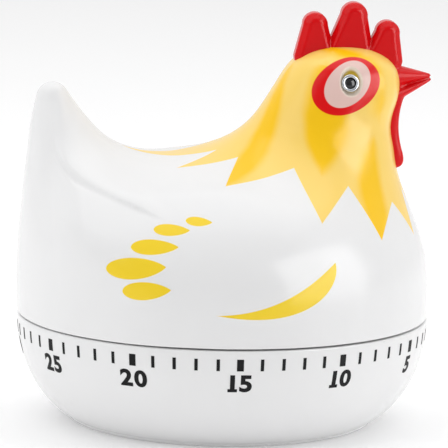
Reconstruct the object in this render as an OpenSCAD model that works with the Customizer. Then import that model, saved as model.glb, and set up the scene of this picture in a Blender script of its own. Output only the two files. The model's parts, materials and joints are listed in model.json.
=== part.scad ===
// Hen-shaped clockwork kitchen timer.
// The hen turns on a cup-shaped base that carries a 60-minute scale. Inside, a mainspring, a gear
// train, a verge and a bell are held between two plates that stand on the floor of the base.
// Millimetres, +Z up, origin at the centre of the underside, on the axis that the hen turns about.
// The hen faces +X.

/* [Base] */
// Radius of the base where it meets the hen
rim_r = 36; // [35:0.5:37]
// Height of the base up to the line where it meets the hen
base_h = 18.6; // [18:0.2:20]
// Wall thickness of the base and of the hen
wall_t = 2; // [1.6:0.1:2.2]
// Gap between the base and the hen
rim_gap = 0.3; // [0.2:0.05:0.5]

/* [Hen] */
// Height of the back above the rim, without the tail and the neck
back_h = 28.3; // [27:0.1:30]
// Squareness of the body's side profile, where 2 is a plain ellipse
body_sq = 2.5; // [2.3:0.1:3.2]
// Radius of the tip of the tail
tail_tip_r = 3; // [2.6:0.1:4]
// Half of the width of the head
head_half_w = 10.5; // [9.5:0.1:11.5]
// Thickness of the comb
comb_t = 5; // [3.6:0.2:6]

/* [Movement] */
// Teeth of the main wheel
main_teeth = 84; // [84]
// Teeth of the second wheel and of the third wheel
wheel_teeth = 72; // [72]
// Leaves of each pinion
pinion_leaves = 12; // [12]
// Turns of the mainspring
spring_turns = 5; // [4:1:6]
// Teeth of the escape wheel
escape_teeth = 18; // [15:1:20]

/* [Bell] */
// Radius of the bell
bell_r = 18; // [16:0.5:18]
// Thickness of the bell's steel
bell_t = 0.6; // [0.5:0.1:0.8]

/* [Fits] */
// Radial clearance of a turning pivot in its hole
pivot_gap = 0.05; // [0.03:0.01:0.1]
// Amount that each tooth is thinned at its pitch line
tooth_relief = 0.03; // [0.02:0.01:0.05]

/* [Hidden] */
$fn = 64;
cut = 0.5;

// Colours
white_shell = [0.95, 0.95, 0.96];
comb_red = [0.78, 0.07, 0.12];
bright_steel = [0.75, 0.76, 0.78];
dark_steel = [0.42, 0.43, 0.45];
brass_gold = [0.80, 0.64, 0.30];
pupil_black = [0.04, 0.04, 0.05];
nylon_cream = [0.90, 0.88, 0.82];

// Base profile: a superellipse that falls from the rim to the foot
base_sq = 2;
base_core_r = 21.6;
base_drop = base_h + 0.7;
floor_t = 2;
foot_round = 0.6;
collar_r = rim_r - wall_t - 0.6;
collar_t = 1.6;
collar_top = base_h + 2.2;
hen_z = base_h + rim_gap / 2;

// Movement levels
plate_t = 1;
plate_r = 27;
bottom_z = 8;
top_z = 19;
spring_z = 9.4;
spring_h = 3.2;
main_z = 13.6;
second_z = 16.2;
third_z = 10.6;
escape_z = 14.2;
cam_z = 17.6;
cam_t = 0.8;
cam_r = 5;
wheel_t = 1.2;
thin_wheel_t = 1;
drive_z = base_h + 3.8;
drive_t = 1.5;

// Gear train
main_module = 0.35;
second_module = 0.30;
third_module = 0.25;
pressure = 25;
second_dist = (main_teeth + pinion_leaves) * main_module / 2;
third_dist = (wheel_teeth + pinion_leaves) * second_module / 2;
escape_dist = (wheel_teeth + pinion_leaves) * third_module / 2;
third_orbit = 19.5;
escape_orbit = 21;
verge_orbit = 21.5;
escape_r = 4.2;
leaf_over = 0.3;

// Angle at the dial axis between two arbors at known orbits and at a known distance
function orbit_step(r1, r2, dist) = acos((r1 * r1 + r2 * r2 - dist * dist) / (2 * r1 * r2));
function at(radius, azimuth, z = 0) = [radius * cos(azimuth), radius * sin(azimuth), z];
second_az = 90;
third_az = second_az + orbit_step(second_dist, third_orbit, third_dist);
escape_az = third_az + orbit_step(third_orbit, escape_orbit, escape_dist);
verge_az = escape_az + 20;
second_at = at(second_dist, second_az);
third_at = at(third_orbit, third_az);
escape_at = at(escape_orbit, escape_az);
verge_at = at(verge_orbit, verge_az);
hammer_az = 260;
hammer_at = at(22.5, hammer_az);
tail_az = hammer_az - 10;
pivot_r = 0.6;
pivot_proud = 0.2;
shoulder_gap = 0.3;
train_arbor_r = 0.9;
collet_r = 1.8;

// Fasteners
boss_orbit = 22.5;
boss_r = 3;
boss_az = [90, 210, 330];
pillar_orbit = 24;
pillar_r = 1.8;
pillar_az = [25, 215, 305];
hen_boss_orbit = 31.4;
hen_boss_r = 3.3;
hen_boss_az = [60, 180, 300];
hen_boss_h = 7;
seat_z = 2;
head_gap = 0.2;
screw_r = 1.2;
screw_head_r = 2.2;
screw_head_h = 1.3;
hen_screw_r = 1;
hen_screw_l = 5;
hen_screw_head_r = 1.9;

// Bell and hammer
bell_stud_r = 1;
bell_nut_r = 2.4;
bell_nut_h = 1.2;
bell_top_z = 5.2;
bell_rim_z = 2.5;
hammer_z = 3;
hammer_h = 1.6;
hammer_head_r = 1.2;
hammer_head_at = at(bell_r + hammer_head_r + 0.35, 280);

// Hen's masses, measured from the rim plane: round cones run from a low end to a high end
// and the dome's own size is eased down to the hen's radius at the rim by an upright cylinder
hen_r = rim_r + 0.1;
dome_r = hen_r + 0.25;
girth_r = hen_r + 0.3;
girth_blend = 1.5;
belt_h = 2.5;
dome_h = back_h - belt_h;
neck_low = [11.3, 0, 14.6];
neck_high = [17.2, 0, 32.8];
neck_low_r = 8.2;
neck_high_r = 10.3;
neck_blend = 16.3;
head_at = [20.3, 0, 40.6];
head_size = [9.9, head_half_w, 6.7];
head_sq = 2.3;
head_blend = 4;
tail_low = [-24, 0, 6];
tail_high = [-30.4, 0, 37.4];
tail_low_r = 11.8;
tail_taper = 1.45;
tail_low_widen = 2.2;
tail_high_widen = 1.15;
tail_blend_rear = 3.3;
tail_blend_front = 9.3;
tail_blend_x = -34.6;
tail_blend_span = 8.5;
hen_heart = [-8, 0, 0];
eye_at = [20.5, 10.1, 41.9];
eye_lift = 14;
eye_turn = 4;
eye_rim_r = 1.55;
eye_pupil_r = 0.95;
eye_depth = 1.6;
eye_proud = 0.35;

// ---------- General functions ----------

function clamp01(t) = min(1, max(0, t));
function ease(t) = let (s = clamp01(t)) s * s * (3 - 2 * s);
function soft_min(a, b, k) = min(a, b) - pow(max(k - abs(a - b), 0), 2) / (4 * k);
function soft_max(a, b, k) = -soft_min(-a, -b, k);
function running_length(points) =
    [for (i = 0, s = 0; i < len(points);
          s = s + (i + 1 < len(points) ? norm(points[i + 1] - points[i]) : 0), i = i + 1) s];

// A round hole cut right through a part that stands on the origin's plane
module through(thickness, radius) {
    translate([0, 0, -cut]) cylinder(h = thickness + 2 * cut, r = radius);
}

// ---------- Hen's surface ----------

// Each function is below zero inside its mass
function dome_field(p) =
    dome_h * (pow(pow(norm([p.x, p.y]) / dome_r, body_sq)
    + pow(max(p.z - belt_h, 0) / dome_h, body_sq), 1 / body_sq) - 1);
function round_cone_field(p, low, high, low_r, high_r, taper = 1) =
    let (axis = high - low, t = clamp01((p - low) * axis / (axis * axis)))
    norm(p - low - t * axis) - (low_r + (high_r - low_r) * pow(t, taper));
function head_field(p) =
    let (q = p - head_at)
    head_size.z * (pow(pow(abs(q.x) / head_size.x, head_sq) + pow(abs(q.y) / head_size.y, head_sq)
    + pow(abs(q.z) / head_size.z, head_sq), 1 / head_sq) - 1);
function tail_field(p) =
    let (t = clamp01((p.z - tail_low.z) / (tail_high.z - tail_low.z)),
         widen = tail_low_widen + (tail_high_widen - tail_low_widen) * t)
    round_cone_field([p.x, p.y / widen, p.z], tail_low, tail_high, tail_low_r, tail_tip_r,
        tail_taper);
function tail_blend(p) =
    tail_blend_rear + tail_blend_front * ease((p.x - tail_blend_x) / tail_blend_span);
function hen_field(p) =
    let (trunk = soft_min(dome_field(p),
             round_cone_field(p, neck_low, neck_high, neck_low_r, neck_high_r), neck_blend),
         headed = soft_min(trunk, head_field(p), head_blend),
         tailed = soft_min(headed, tail_field(p), tail_blend(p)))
    soft_max(tailed, norm([p.x, p.y]) - girth_r, girth_blend);

// Directions fan out from the hen's heart: turn runs from the breast over the back to the tail,
// and side runs from the right flank to the left flank
function fan(turn, side) = [cos(turn) * sin(side), -cos(side), sin(turn) * sin(side)];
function reach(way, level, near = 0, far = 75, steps = 15) =
    steps == 0 ? near :
    let (mid = (near + far) / 2)
    hen_field(hen_heart + mid * way) < level
        ? reach(way, level, mid, far, steps - 1)
        : reach(way, level, near, mid, steps - 1);
function skin_point(turn, side, level) =
    let (way = fan(turn, side)) hen_heart + reach(way, level) * way;

// Values spaced evenly along a sampled line, as [length, value] pairs read back with lookup
function even_values(points, values, count) =
    let (s = running_length(points), pairs = [for (i = [0:len(s) - 1]) [s[i], values[i]]])
    [for (i = [0:count]) lookup(s[len(s) - 1] * i / count, pairs)];

// One slice of the skin from flank to flank, its points evenly spaced
function skin_slice(turn, level, half_count) =
    let (sides = [for (s = [0:3:90]) s],
         trial = [for (s = sides) skin_point(turn, s, level)],
         even = even_values(trial, sides, half_count),
         half = [for (i = [1:half_count]) skin_point(turn, even[i], level)])
    concat(half, [for (i = [half_count - 2:-1:0]) [half[i].x, -half[i].y, half[i].z]]);

module hen_solid(level, slices, half_count) {
    turns_tried = [for (t = [0:1:180]) t];
    profile = [for (t = turns_tried) skin_point(t, 90, level)];
    turns = even_values(profile, turns_tried, slices);
    grid = [for (t = turns) skin_slice(t, level, half_count)];
    across = len(grid[0]);
    right_pole = skin_point(90, 0, level);
    left_pole = [right_pole.x, -right_pole.y, right_pole.z];
    points = concat([for (row = grid) each row], [right_pole, left_pole]);
    right = len(points) - 2;
    left = len(points) - 1;
    skin = [for (i = [0:slices - 1], j = [0:across - 2])
        let (a = i * across + j, b = a + 1, c = a + across, d = c + 1)
        each [[a, c, b], [b, c, d]]];
    flanks = [for (i = [0:slices - 1])
        let (a = i * across, b = a + across)
        each [[right, b, a], [left, a + across - 1, b + across - 1]]];
    underside = [concat([right], [for (j = [0:across - 1]) j], [left],
        [for (j = [across - 1:-1:0]) slices * across + j])];
    polyhedron(points, concat(skin, flanks, underside), convexity = 8);
}

// ---------- Gears ----------

function involute(a) = tan(a) * 180 / PI - a;

// Half of a tooth's angle at a radius
function tooth_half(teeth, pitch_r, radius) =
    let (base_r = pitch_r * cos(pressure), r = max(radius, base_r))
    90 / teeth - tooth_relief / 2 / pitch_r * 180 / PI + involute(pressure)
    - involute(acos(base_r / r));

// Outline of a spur gear with a tooth centred on +X
function gear_outline(teeth, module_size, addendum) =
    let (pitch_r = teeth * module_size / 2,
         root_r = pitch_r - 1.2 * module_size,
         tip_r = pitch_r + addendum * module_size,
         low_r = max(root_r + 0.05, pitch_r * cos(pressure)),
         radii = [root_r, low_r, (low_r + tip_r) / 2, tip_r],
         flank = [for (r = radii) [r, tooth_half(teeth, pitch_r, r)]])
    [for (k = [0:teeth - 1], side = [-1, 1], i = [0:3])
        let (f = flank[side < 0 ? i : 3 - i])
        [f[0] * cos(360 * k / teeth + side * f[1]), f[0] * sin(360 * k / teeth + side * f[1])]];

// Angle of a gear that meshes with a turned neighbour seen in a direction
function meshed(first_teeth, first_angle, teeth, direction) =
    direction + 180 - 180 / teeth - (first_angle - direction) * first_teeth / teeth;
function way_to(from, to) = atan2(to.y - from.y, to.x - from.x);

second_angle = meshed(main_teeth, 0, pinion_leaves, second_az);
third_angle = meshed(wheel_teeth, second_angle, pinion_leaves, way_to(second_at, third_at));
escape_angle = meshed(wheel_teeth, third_angle, pinion_leaves, way_to(third_at, escape_at));

// A spoked wheel with a hole for its arbor
module toothed_wheel(teeth, module_size, thickness, hole_r) {
    rim_w = 2.2;
    rim_inner_r = teeth * module_size / 2 - rim_w;
    hub_r = hole_r + 1.4;
    spoke_w = 1.6;
    difference() {
        linear_extrude(thickness) polygon(gear_outline(teeth, module_size, 0.8));
        through(thickness, hole_r);
        translate([0, 0, -cut]) difference() {
            cylinder(h = thickness + 2 * cut, r = rim_inner_r);
            cylinder(h = thickness + 2 * cut, r = hub_r);
            for (a = [45:90:315]) rotate(a)
                translate([0, -spoke_w / 2, 0]) cube([rim_inner_r + 1, spoke_w, thickness + 2 * cut]);
        }
    }
}

// An arbor between the plates with thin pivots and a leaf pinion cut on it
module pinion_arbor(module_size, pinion_z, pinion_h) {
    low = bottom_z - pivot_proud;
    high = top_z + plate_t + pivot_proud;
    rotate_extrude() polygon([
        [0, low], [pivot_r, low], [pivot_r, bottom_z + plate_t + shoulder_gap],
        [train_arbor_r, bottom_z + plate_t + shoulder_gap], [train_arbor_r, top_z - shoulder_gap],
        [pivot_r, top_z - shoulder_gap], [pivot_r, high], [0, high]]);
    translate([0, 0, pinion_z])
        linear_extrude(pinion_h) polygon(gear_outline(pinion_leaves, module_size, 0.9));
}

// ---------- Base ----------

function base_radius(z) =
    base_core_r + (rim_r - base_core_r)
    * pow(1 - pow((base_h - z) / base_drop, base_sq), 1 / base_sq);

module base_cup() {
    top = base_h - rim_gap / 2;
    bands = 18;
    foot_r = base_radius(foot_round) - foot_round;
    outside = [for (i = [0:bands]) let (z = foot_round + (top - foot_round) * i / bands)
        [base_radius(z), z]];
    inside = [for (i = [bands:-1:0]) let (z = floor_t + (top - wall_t - floor_t) * i / bands)
        [base_radius(z) - wall_t, z]];
    rotate_extrude($fn = 96) polygon(concat(
        [[0, 0], [foot_r, 0], [foot_r + foot_round * sin(45), foot_round * (1 - cos(45))]],
        outside,
        [[collar_r, top], [collar_r, collar_top], [collar_r - collar_t, collar_top],
         [collar_r - collar_t, top - wall_t]],
        inside, [[0, floor_t]]));
}

module base_shell() {
    color(white_shell) difference() {
        union() {
            base_cup();
            for (a = boss_az) translate(at(boss_orbit, a, floor_t - cut))
                cylinder(h = bottom_z - floor_t + cut, r = boss_r);
        }
        for (a = boss_az) translate(at(boss_orbit, a, -cut)) {
            cylinder(h = bottom_z + 2 * cut, r = screw_r + pivot_gap);
            cylinder(h = cut + seat_z, r = screw_head_r + head_gap);
        }
    }
}

// ---------- Plates, pillars and screws ----------

module plate(z, holes) {
    difference() {
        translate([0, 0, z]) cylinder(h = plate_t, r = plate_r, $fn = 96);
        for (h = holes) translate([h[0].x, h[0].y, z - cut]) cylinder(h = plate_t + 2 * cut, r = h[1]);
    }
}

train_holes = [for (p = [second_at, third_at, escape_at, verge_at]) [p, pivot_r + pivot_gap]];
pillar_tip_r = 1;
pillar_holes = [for (a = pillar_az) [at(pillar_orbit, a), pillar_tip_r]];
bush_r = 3.4;
hammer_arbor_r = 0.8;
hammer_hole = [hammer_at, hammer_arbor_r + pivot_gap];
spring_post_at = at(11.4, -60);
spring_post_r = 0.9;

module bottom_plate() {
    color(bright_steel) plate(bottom_z, concat(train_holes, pillar_holes,
        [[[0, 0], bush_r], hammer_hole, [spring_post_at, spring_post_r]],
        [for (a = boss_az) [at(boss_orbit, a), screw_r]]));
}

module top_plate() {
    color(bright_steel) plate(top_z, concat(train_holes, pillar_holes,
        [[[0, 0], bush_r], [hammer_at, pivot_r + pivot_gap]]));
}

module plate_pillars() {
    color(bright_steel) for (a = pillar_az) translate(at(pillar_orbit, a)) {
        translate([0, 0, bottom_z]) cylinder(h = top_z + plate_t - bottom_z, r = pillar_tip_r);
        translate([0, 0, bottom_z + plate_t]) cylinder(h = top_z - bottom_z - plate_t, r = pillar_r);
    }
}

module pillar_screws() {
    head_h = 1;
    head_r = 1.9;
    slot_w = 0.5;
    slot_depth = 0.4;
    color(dark_steel) for (a = pillar_az) translate(at(pillar_orbit, a, top_z + plate_t))
        difference() {
            cylinder(h = head_h, r = head_r);
            translate([-head_r - cut, -slot_w / 2, head_h - slot_depth])
                cube([2 * (head_r + cut), slot_w, slot_depth + cut]);
        }
}

// A cross-head screw standing on its head, pointing up from the origin
module screw(length, head_r, shank_r) {
    slot_w = 0.6;
    slot_l = 2.4;
    slot_depth = 0.7;
    difference() {
        union() {
            cylinder(h = screw_head_h, r = head_r);
            cylinder(h = screw_head_h + length, r = shank_r);
        }
        for (a = [0, 90]) rotate(a) translate([-slot_l / 2, -slot_w / 2, -cut])
            cube([slot_l, slot_w, cut + slot_depth]);
    }
}

module base_screws() {
    color(dark_steel) for (a = boss_az) translate(at(boss_orbit, a, seat_z - screw_head_h))
        screw(bottom_z + plate_t - seat_z, screw_head_r, screw_r);
}

// ---------- Bell ----------

module bell() {
    crown_round = 1.4;
    bell_hole_r = bell_stud_r + pivot_gap;
    arc = [for (a = [0:15:90]) a];
    color(bright_steel) rotate_extrude($fn = 96) polygon(concat(
        [[bell_hole_r, bell_top_z]],
        [for (a = [90:-15:0]) [bell_r - crown_round + crown_round * cos(a),
            bell_top_z - crown_round + crown_round * sin(a)]],
        [[bell_r, bell_rim_z], [bell_r - bell_t, bell_rim_z]],
        [for (a = arc) [bell_r - crown_round + (crown_round - bell_t) * cos(a),
            bell_top_z - crown_round + (crown_round - bell_t) * sin(a)]],
        [[bell_hole_r, bell_top_z - bell_t]]));
}

module bell_post() {
    color(brass_gold) translate([0, 0, floor_t]) {
        cylinder(h = bell_top_z - bell_t - floor_t, r = bell_nut_r);
        cylinder(h = bell_top_z + bell_nut_h - floor_t + 0.3, r = bell_stud_r);
    }
}

module bell_nut() {
    color(brass_gold) translate([0, 0, bell_top_z]) difference() {
        cylinder(h = bell_nut_h, r = bell_nut_r, $fn = 6);
        through(bell_nut_h, bell_stud_r + 0.02);
    }
}

// ---------- Main arbor and what is on it ----------

arbor_low_r = 1.5;
arbor_mid_r = 2.4;
arbor_high_r = 2.2;
arbor_foot_z = 7.3;
arbor_body_z = 9.7;
arbor_end_z = drive_z - 0.9;
arbor_end_h = 5;
arbor_end_gap = 0.04;
clutch_h = 1.2;
clutch_collar_r = 3.6;

module bush(z, inner_r) {
    flange_t = 0.4;
    flange_w = 0.8;
    color(brass_gold) translate([0, 0, z]) difference() {
        union() {
            cylinder(h = plate_t + flange_t, r = bush_r);
            translate([0, 0, plate_t]) cylinder(h = flange_t, r = bush_r + flange_w);
        }
        through(plate_t + flange_t, inner_r);
    }
}

module lower_bush() { bush(bottom_z, arbor_low_r + pivot_gap); }
module upper_bush() { bush(top_z, arbor_high_r + pivot_gap); }

// The top end has a flat that drives the hen's plate
module d_end(radius, height) {
    flat_share = 0.7;
    intersection() {
        cylinder(h = height, r = radius);
        translate([-2 * radius, -2 * radius, -cut])
            cube([(2 + flat_share) * radius, 4 * radius, height + 2 * cut]);
    }
}

module main_arbor() {
    color(bright_steel) {
        translate([0, 0, arbor_foot_z]) cylinder(h = arbor_body_z - arbor_foot_z, r = arbor_low_r);
        translate([0, 0, arbor_body_z])
            cylinder(h = top_z - shoulder_gap - arbor_body_z, r = arbor_mid_r);
        translate([0, 0, top_z - shoulder_gap - cut])
            cylinder(h = arbor_end_z - top_z + shoulder_gap + cut, r = arbor_high_r);
        translate([0, 0, arbor_end_z]) d_end(arbor_high_r, arbor_end_h);
    }
}

module arbor_clip() {
    clip_t = 0.4;
    clip_r = 2.6;
    mouth_w = 1.8;
    color(dark_steel) translate([0, 0, arbor_foot_z + 0.2]) difference() {
        cylinder(h = clip_t, r = clip_r);
        through(clip_t, arbor_low_r);
        translate([0, -mouth_w / 2, -cut]) cube([clip_r + cut, mouth_w, clip_t + 2 * cut]);
    }
}

module main_wheel() {
    color(brass_gold) translate([0, 0, main_z])
        toothed_wheel(main_teeth, main_module, wheel_t, arbor_mid_r);
}

module clutch_spring() {
    low_z = main_z + wheel_t;
    washer_r = 4.6;
    washer_t = 0.3;
    color(bright_steel) rotate_extrude() polygon([
        [arbor_mid_r, low_z + clutch_h - washer_t], [washer_r, low_z],
        [washer_r, low_z + washer_t], [arbor_mid_r, low_z + clutch_h]]);
}

module clutch_collar() {
    collar_h = 1.2;
    color(brass_gold) translate([0, 0, main_z + wheel_t + clutch_h]) difference() {
        cylinder(h = collar_h, r = clutch_collar_r);
        through(collar_h, arbor_mid_r);
    }
}

// A disc with one notch that frees the hammer at the end of the hour
module alarm_cam() {
    notch_w = 1.6;
    notch_depth = 0.8;
    color(bright_steel) translate([0, 0, cam_z]) difference() {
        cylinder(h = cam_t, r = cam_r);
        through(cam_t, arbor_mid_r);
        rotate(tail_az) translate([cam_r - notch_depth, -notch_w / 2, -cut])
            cube([notch_depth + cut, notch_w, cam_t + 2 * cut]);
    }
}

// A flat spiral ribbon from the arbor out to the spring post
module mainspring() {
    ribbon_t = 0.3;
    inner_r = arbor_mid_r + 0.4;
    outer_r = norm(spring_post_at) - spring_post_r - ribbon_t / 2;
    step = 12;
    end_a = way_to([0, 0], spring_post_at);
    sweep = 360 * spring_turns;
    line = [for (a = [0:step:sweep]) let (r = inner_r + (outer_r - inner_r) * a / sweep)
        [r, end_a - sweep + a]];
    color(dark_steel) translate([0, 0, spring_z]) linear_extrude(spring_h) polygon(concat(
        [for (p = line) (p[0] - ribbon_t / 2) * [cos(p[1]), sin(p[1])]],
        [for (i = [len(line) - 1:-1:0])
            (line[i][0] + ribbon_t / 2) * [cos(line[i][1]), sin(line[i][1])]]));
}

module spring_post() {
    color(bright_steel) translate([spring_post_at.x, spring_post_at.y, bottom_z])
        cylinder(h = spring_z + spring_h + 0.3 - bottom_z, r = spring_post_r);
}

// ---------- Gear train ----------

module second_arbor() {
    color(bright_steel) translate(second_at) rotate(second_angle)
        pinion_arbor(main_module, main_z - leaf_over, second_z - main_z + leaf_over);
}

module second_wheel() {
    color(brass_gold) translate([second_at.x, second_at.y, second_z]) rotate(second_angle)
        toothed_wheel(wheel_teeth, second_module, thin_wheel_t, train_arbor_r);
}

module third_arbor() {
    color(bright_steel) translate(third_at) rotate(third_angle)
        pinion_arbor(second_module, second_z - leaf_over, thin_wheel_t + 2 * leaf_over);
}

module third_wheel() {
    color(brass_gold) translate([third_at.x, third_at.y, third_z]) rotate(third_angle)
        toothed_wheel(wheel_teeth, third_module, thin_wheel_t, train_arbor_r);
}

module escape_arbor() {
    color(bright_steel) translate(escape_at) rotate(escape_angle)
        pinion_arbor(third_module, third_z - leaf_over, thin_wheel_t + 2 * leaf_over);
}

module escape_wheel() {
    tooth = 360 / escape_teeth;
    root_r = escape_r - 1;
    escape_t = 0.8;
    heel = 0.15;
    toe = 0.7;
    color(brass_gold) translate([escape_at.x, escape_at.y, escape_z]) rotate(escape_angle)
        difference() {
            linear_extrude(escape_t) polygon([for (k = [0:escape_teeth - 1]) each [
                escape_r * [cos(k * tooth), sin(k * tooth)],
                root_r * [cos((k + heel) * tooth), sin((k + heel) * tooth)],
                root_r * [cos((k + toe) * tooth), sin((k + toe) * tooth)]]]);
            through(escape_t, train_arbor_r);
        }
}

// ---------- Verge ----------

verge_facing = way_to(verge_at, escape_at);

module verge_arbor() {
    color(bright_steel) translate(verge_at) {
        translate([0, 0, bottom_z - pivot_proud])
            cylinder(h = top_z + plate_t - bottom_z + 2 * pivot_proud, r = pivot_r);
        translate([0, 0, bottom_z + plate_t + shoulder_gap])
            cylinder(h = top_z - bottom_z - plate_t - 2 * shoulder_gap, r = train_arbor_r);
    }
}

// An anchor with two upright pins that stand just outside the escape wheel's tips
module verge_lever() {
    pin_x = norm(escape_at - verge_at) - escape_r + 1.2;
    pin_h = 2.8;
    pin_r = 0.4;
    spread = 4.5;
    arm_w = 1.2;
    arm_t = 0.8;
    drop = 1.6;
    color(brass_gold) translate([verge_at.x, verge_at.y, escape_z - drop]) rotate(verge_facing) {
        difference() {
            union() {
                cylinder(h = arm_t, r = collet_r);
                translate([0, -spread, 0]) cube([arm_w, 2 * spread, arm_t]);
                for (side = [-1, 1]) translate([0, side * spread - arm_w / 2, 0])
                    cube([pin_x + arm_w / 2, arm_w, arm_t]);
            }
            through(arm_t, train_arbor_r);
        }
        for (side = [-1, 1]) translate([pin_x, side * spread, 0]) cylinder(h = pin_h, r = pin_r);
    }
}

module balance_bar() {
    half_l = 5.2;
    bar_w = 1.6;
    bar_t = 0.8;
    weight_r = 1.3;
    weight_h = 1.6;
    color(dark_steel) translate([verge_at.x, verge_at.y, top_z - 2]) rotate(verge_facing + 90)
        difference() {
            union() {
                translate([-half_l, -bar_w / 2, 0]) cube([2 * half_l, bar_w, bar_t]);
                for (side = [-1, 1]) translate([side * half_l, 0, (bar_t - weight_h) / 2])
                    cylinder(h = weight_h, r = weight_r);
                cylinder(h = bar_t, r = collet_r);
            }
            through(bar_t, train_arbor_r);
        }
}

// ---------- Hammer ----------

module hammer_arbor() {
    color(bright_steel) translate(hammer_at) {
        translate([0, 0, hammer_z - 0.4]) cylinder(h = top_z - hammer_z, r = hammer_arbor_r);
        translate([0, 0, top_z - cut])
            cylinder(h = plate_t + pivot_proud + cut, r = pivot_r);
    }
}

module hammer_arm() {
    facing = way_to(hammer_at, hammer_head_at);
    length = norm(hammer_head_at - hammer_at);
    arm_w = 1.2;
    arm_t = 0.8;
    color(dark_steel) {
        translate([hammer_at.x, hammer_at.y, hammer_z]) rotate(facing) difference() {
            union() {
                cylinder(h = arm_t, r = collet_r);
                translate([0, -arm_w / 2, 0]) cube([length, arm_w, arm_t]);
            }
            through(arm_t, hammer_arbor_r);
        }
        translate([hammer_head_at.x, hammer_head_at.y, hammer_z + (arm_t - hammer_h) / 2])
            cylinder(h = hammer_h, r = hammer_head_r);
    }
}

module hammer_tail() {
    tip = at(cam_r + 0.6, tail_az);
    facing = way_to(hammer_at, tip);
    side = 1.2;
    color(dark_steel) translate([hammer_at.x, hammer_at.y, cam_z + (cam_t - side) / 2]) rotate(facing)
        difference() {
            union() {
                cylinder(h = side, r = collet_r);
                translate([0, -side / 2, 0]) cube([norm(tip - hammer_at), side, side]);
            }
            through(side, hammer_arbor_r);
        }
}

// A blade that hangs from the bottom plate and leans on the hammer's arm
module hammer_spring() {
    blade_at = at(25.2, 285);
    blade = [5.5, 0.3, 1.2];
    blade_turn = 198;
    color(bright_steel) translate([blade_at.x, blade_at.y, hammer_z]) {
        cylinder(h = bottom_z - hammer_z, r = 0.7);
        rotate(blade_turn) translate([0, 0.4, 0]) cube(blade);
    }
}

// ---------- Hen ----------

// Places children at the hen's eyes: +Z points out of the head
module at_eyes() {
    for (side = [-1, 1]) translate([eye_at.x, side * eye_at.y, eye_at.z])
        rotate([0, 0, side * (90 - eye_turn)]) rotate([0, 90 - eye_lift, 0]) children();
}

module eye_bead(radius, inner_r) {
    translate([0, 0, -eye_depth]) difference() {
        cylinder(h = eye_depth + eye_proud, r = radius);
        if (inner_r > 0) translate([0, 0, -cut]) cylinder(h = eye_depth + 2, r = inner_r);
    }
}

// Side view of the comb and of the strip that joins it to the wattle
comb_lobes = [
    [[15.2, 45.4], 3.6, [15.2, 50.85], 2.2],
    [[21.3, 46.0], 4.3, [22.0, 52.55], 2.35],
    [[27.2, 45.2], 3.5, [27.9, 49.6], 2.15]];
wattle_low_z = 25.8;
wattle_waist = [30.25, 33.5];
wattle_curve = 0.034;
wattle_round = 1.3;

module comb_side() {
    for (lobe = comb_lobes) hull() {
        translate(lobe[0]) circle(r = lobe[1], $fn = 32);
        translate(lobe[2]) circle(r = lobe[3], $fn = 32);
    }
    translate([14.6, 43]) square([13, 5]);
}

// The wattle's front edge is a shallow curve, nearest to the neck at its waist
module wattle_side() {
    back_x = 27;
    top_z = 43;
    front = [for (i = [0:16]) let (z = wattle_low_z + (top_z - wattle_low_z) * i / 16)
        [wattle_waist.x + wattle_curve * pow(min(z, 38) - wattle_waist.y, 2), z]];
    offset(r = wattle_round, $fn = 32) offset(delta = -wattle_round)
        polygon(concat(front, [[back_x, top_z], [back_x, wattle_low_z]]));
}

module upright(thickness) {
    translate([0, thickness / 2, 0]) rotate([90, 0, 0]) linear_extrude(thickness) children();
}

module beak_half(root_z, root_half_h, tip_z) {
    root_x = 30;
    tip_x = 35.5;
    tip_r = 0.4;
    hull() {
        translate([root_x, 0, root_z]) rotate([0, 90, 0]) scale([root_half_h, 3, 1])
            cylinder(h = 0.5, r = 1, $fn = 32);
        translate([tip_x, 0, tip_z]) sphere(r = tip_r, $fn = 12);
    }
}

module red_moulding() {
    translate([0, 0, hen_z]) {
        upright(comb_t) comb_side();
        upright(comb_t - 0.8) wattle_side();
        beak_half(42, 1.9, 42.1);
        beak_half(39.1, 1.5, 41.4);
    }
}

module comb_beak_and_wattle() {
    color(comb_red) red_moulding();
}

// The shell is one moulded skin, so it is worked out as one mesh
module hen_shell() {
    color(white_shell) resize([0, 0, 0]) difference() {
        translate([0, 0, hen_z]) union() {
            difference() {
                hen_solid(0, 36, 11);
                hen_solid(-(dome_r - hen_r + wall_t) * dome_h / dome_r, 26, 8);
                translate([0, 0, -1]) cylinder(h = 1.6, r = hen_r - wall_t);
            }
            for (a = hen_boss_az) translate(at(hen_boss_orbit, a, drive_z + drive_t - hen_z))
                cylinder(h = hen_boss_h, r = hen_boss_r, $fn = 32);
        }
        for (a = hen_boss_az) translate(at(hen_boss_orbit, a, drive_z))
            cylinder(h = hen_boss_h, r = hen_screw_r + 0.06, $fn = 24);
        red_moulding();
        translate([0, 0, hen_z]) at_eyes() eye_bead(eye_rim_r, 0);
    }
}

module eye_rims() {
    color(bright_steel) translate([0, 0, hen_z]) at_eyes() eye_bead(eye_rim_r, eye_pupil_r);
}

module eye_pupils() {
    color(pupil_black) translate([0, 0, hen_z]) at_eyes() eye_bead(eye_pupil_r, 0);
}

module drive_plate() {
    plate_rim_r = hen_r - wall_t - 0.6;
    hub_r = 5;
    hub_h = 4.6;
    hub_drop = 0.6;
    window_orbit = 18;
    window_r = 6;
    color(nylon_cream) difference() {
        union() {
            translate([0, 0, drive_z]) cylinder(h = drive_t, r = plate_rim_r, $fn = 96);
            translate([0, 0, drive_z - hub_drop]) cylinder(h = hub_h, r = hub_r);
        }
        translate([0, 0, arbor_end_z]) d_end(arbor_high_r + arbor_end_gap, arbor_end_h + cut);
        for (a = hen_boss_az) translate(at(hen_boss_orbit, a, drive_z))
            through(drive_t, hen_screw_r + head_gap);
        for (a = [0, 120, 240]) translate(at(window_orbit, a, drive_z)) through(drive_t, window_r);
    }
}

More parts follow.
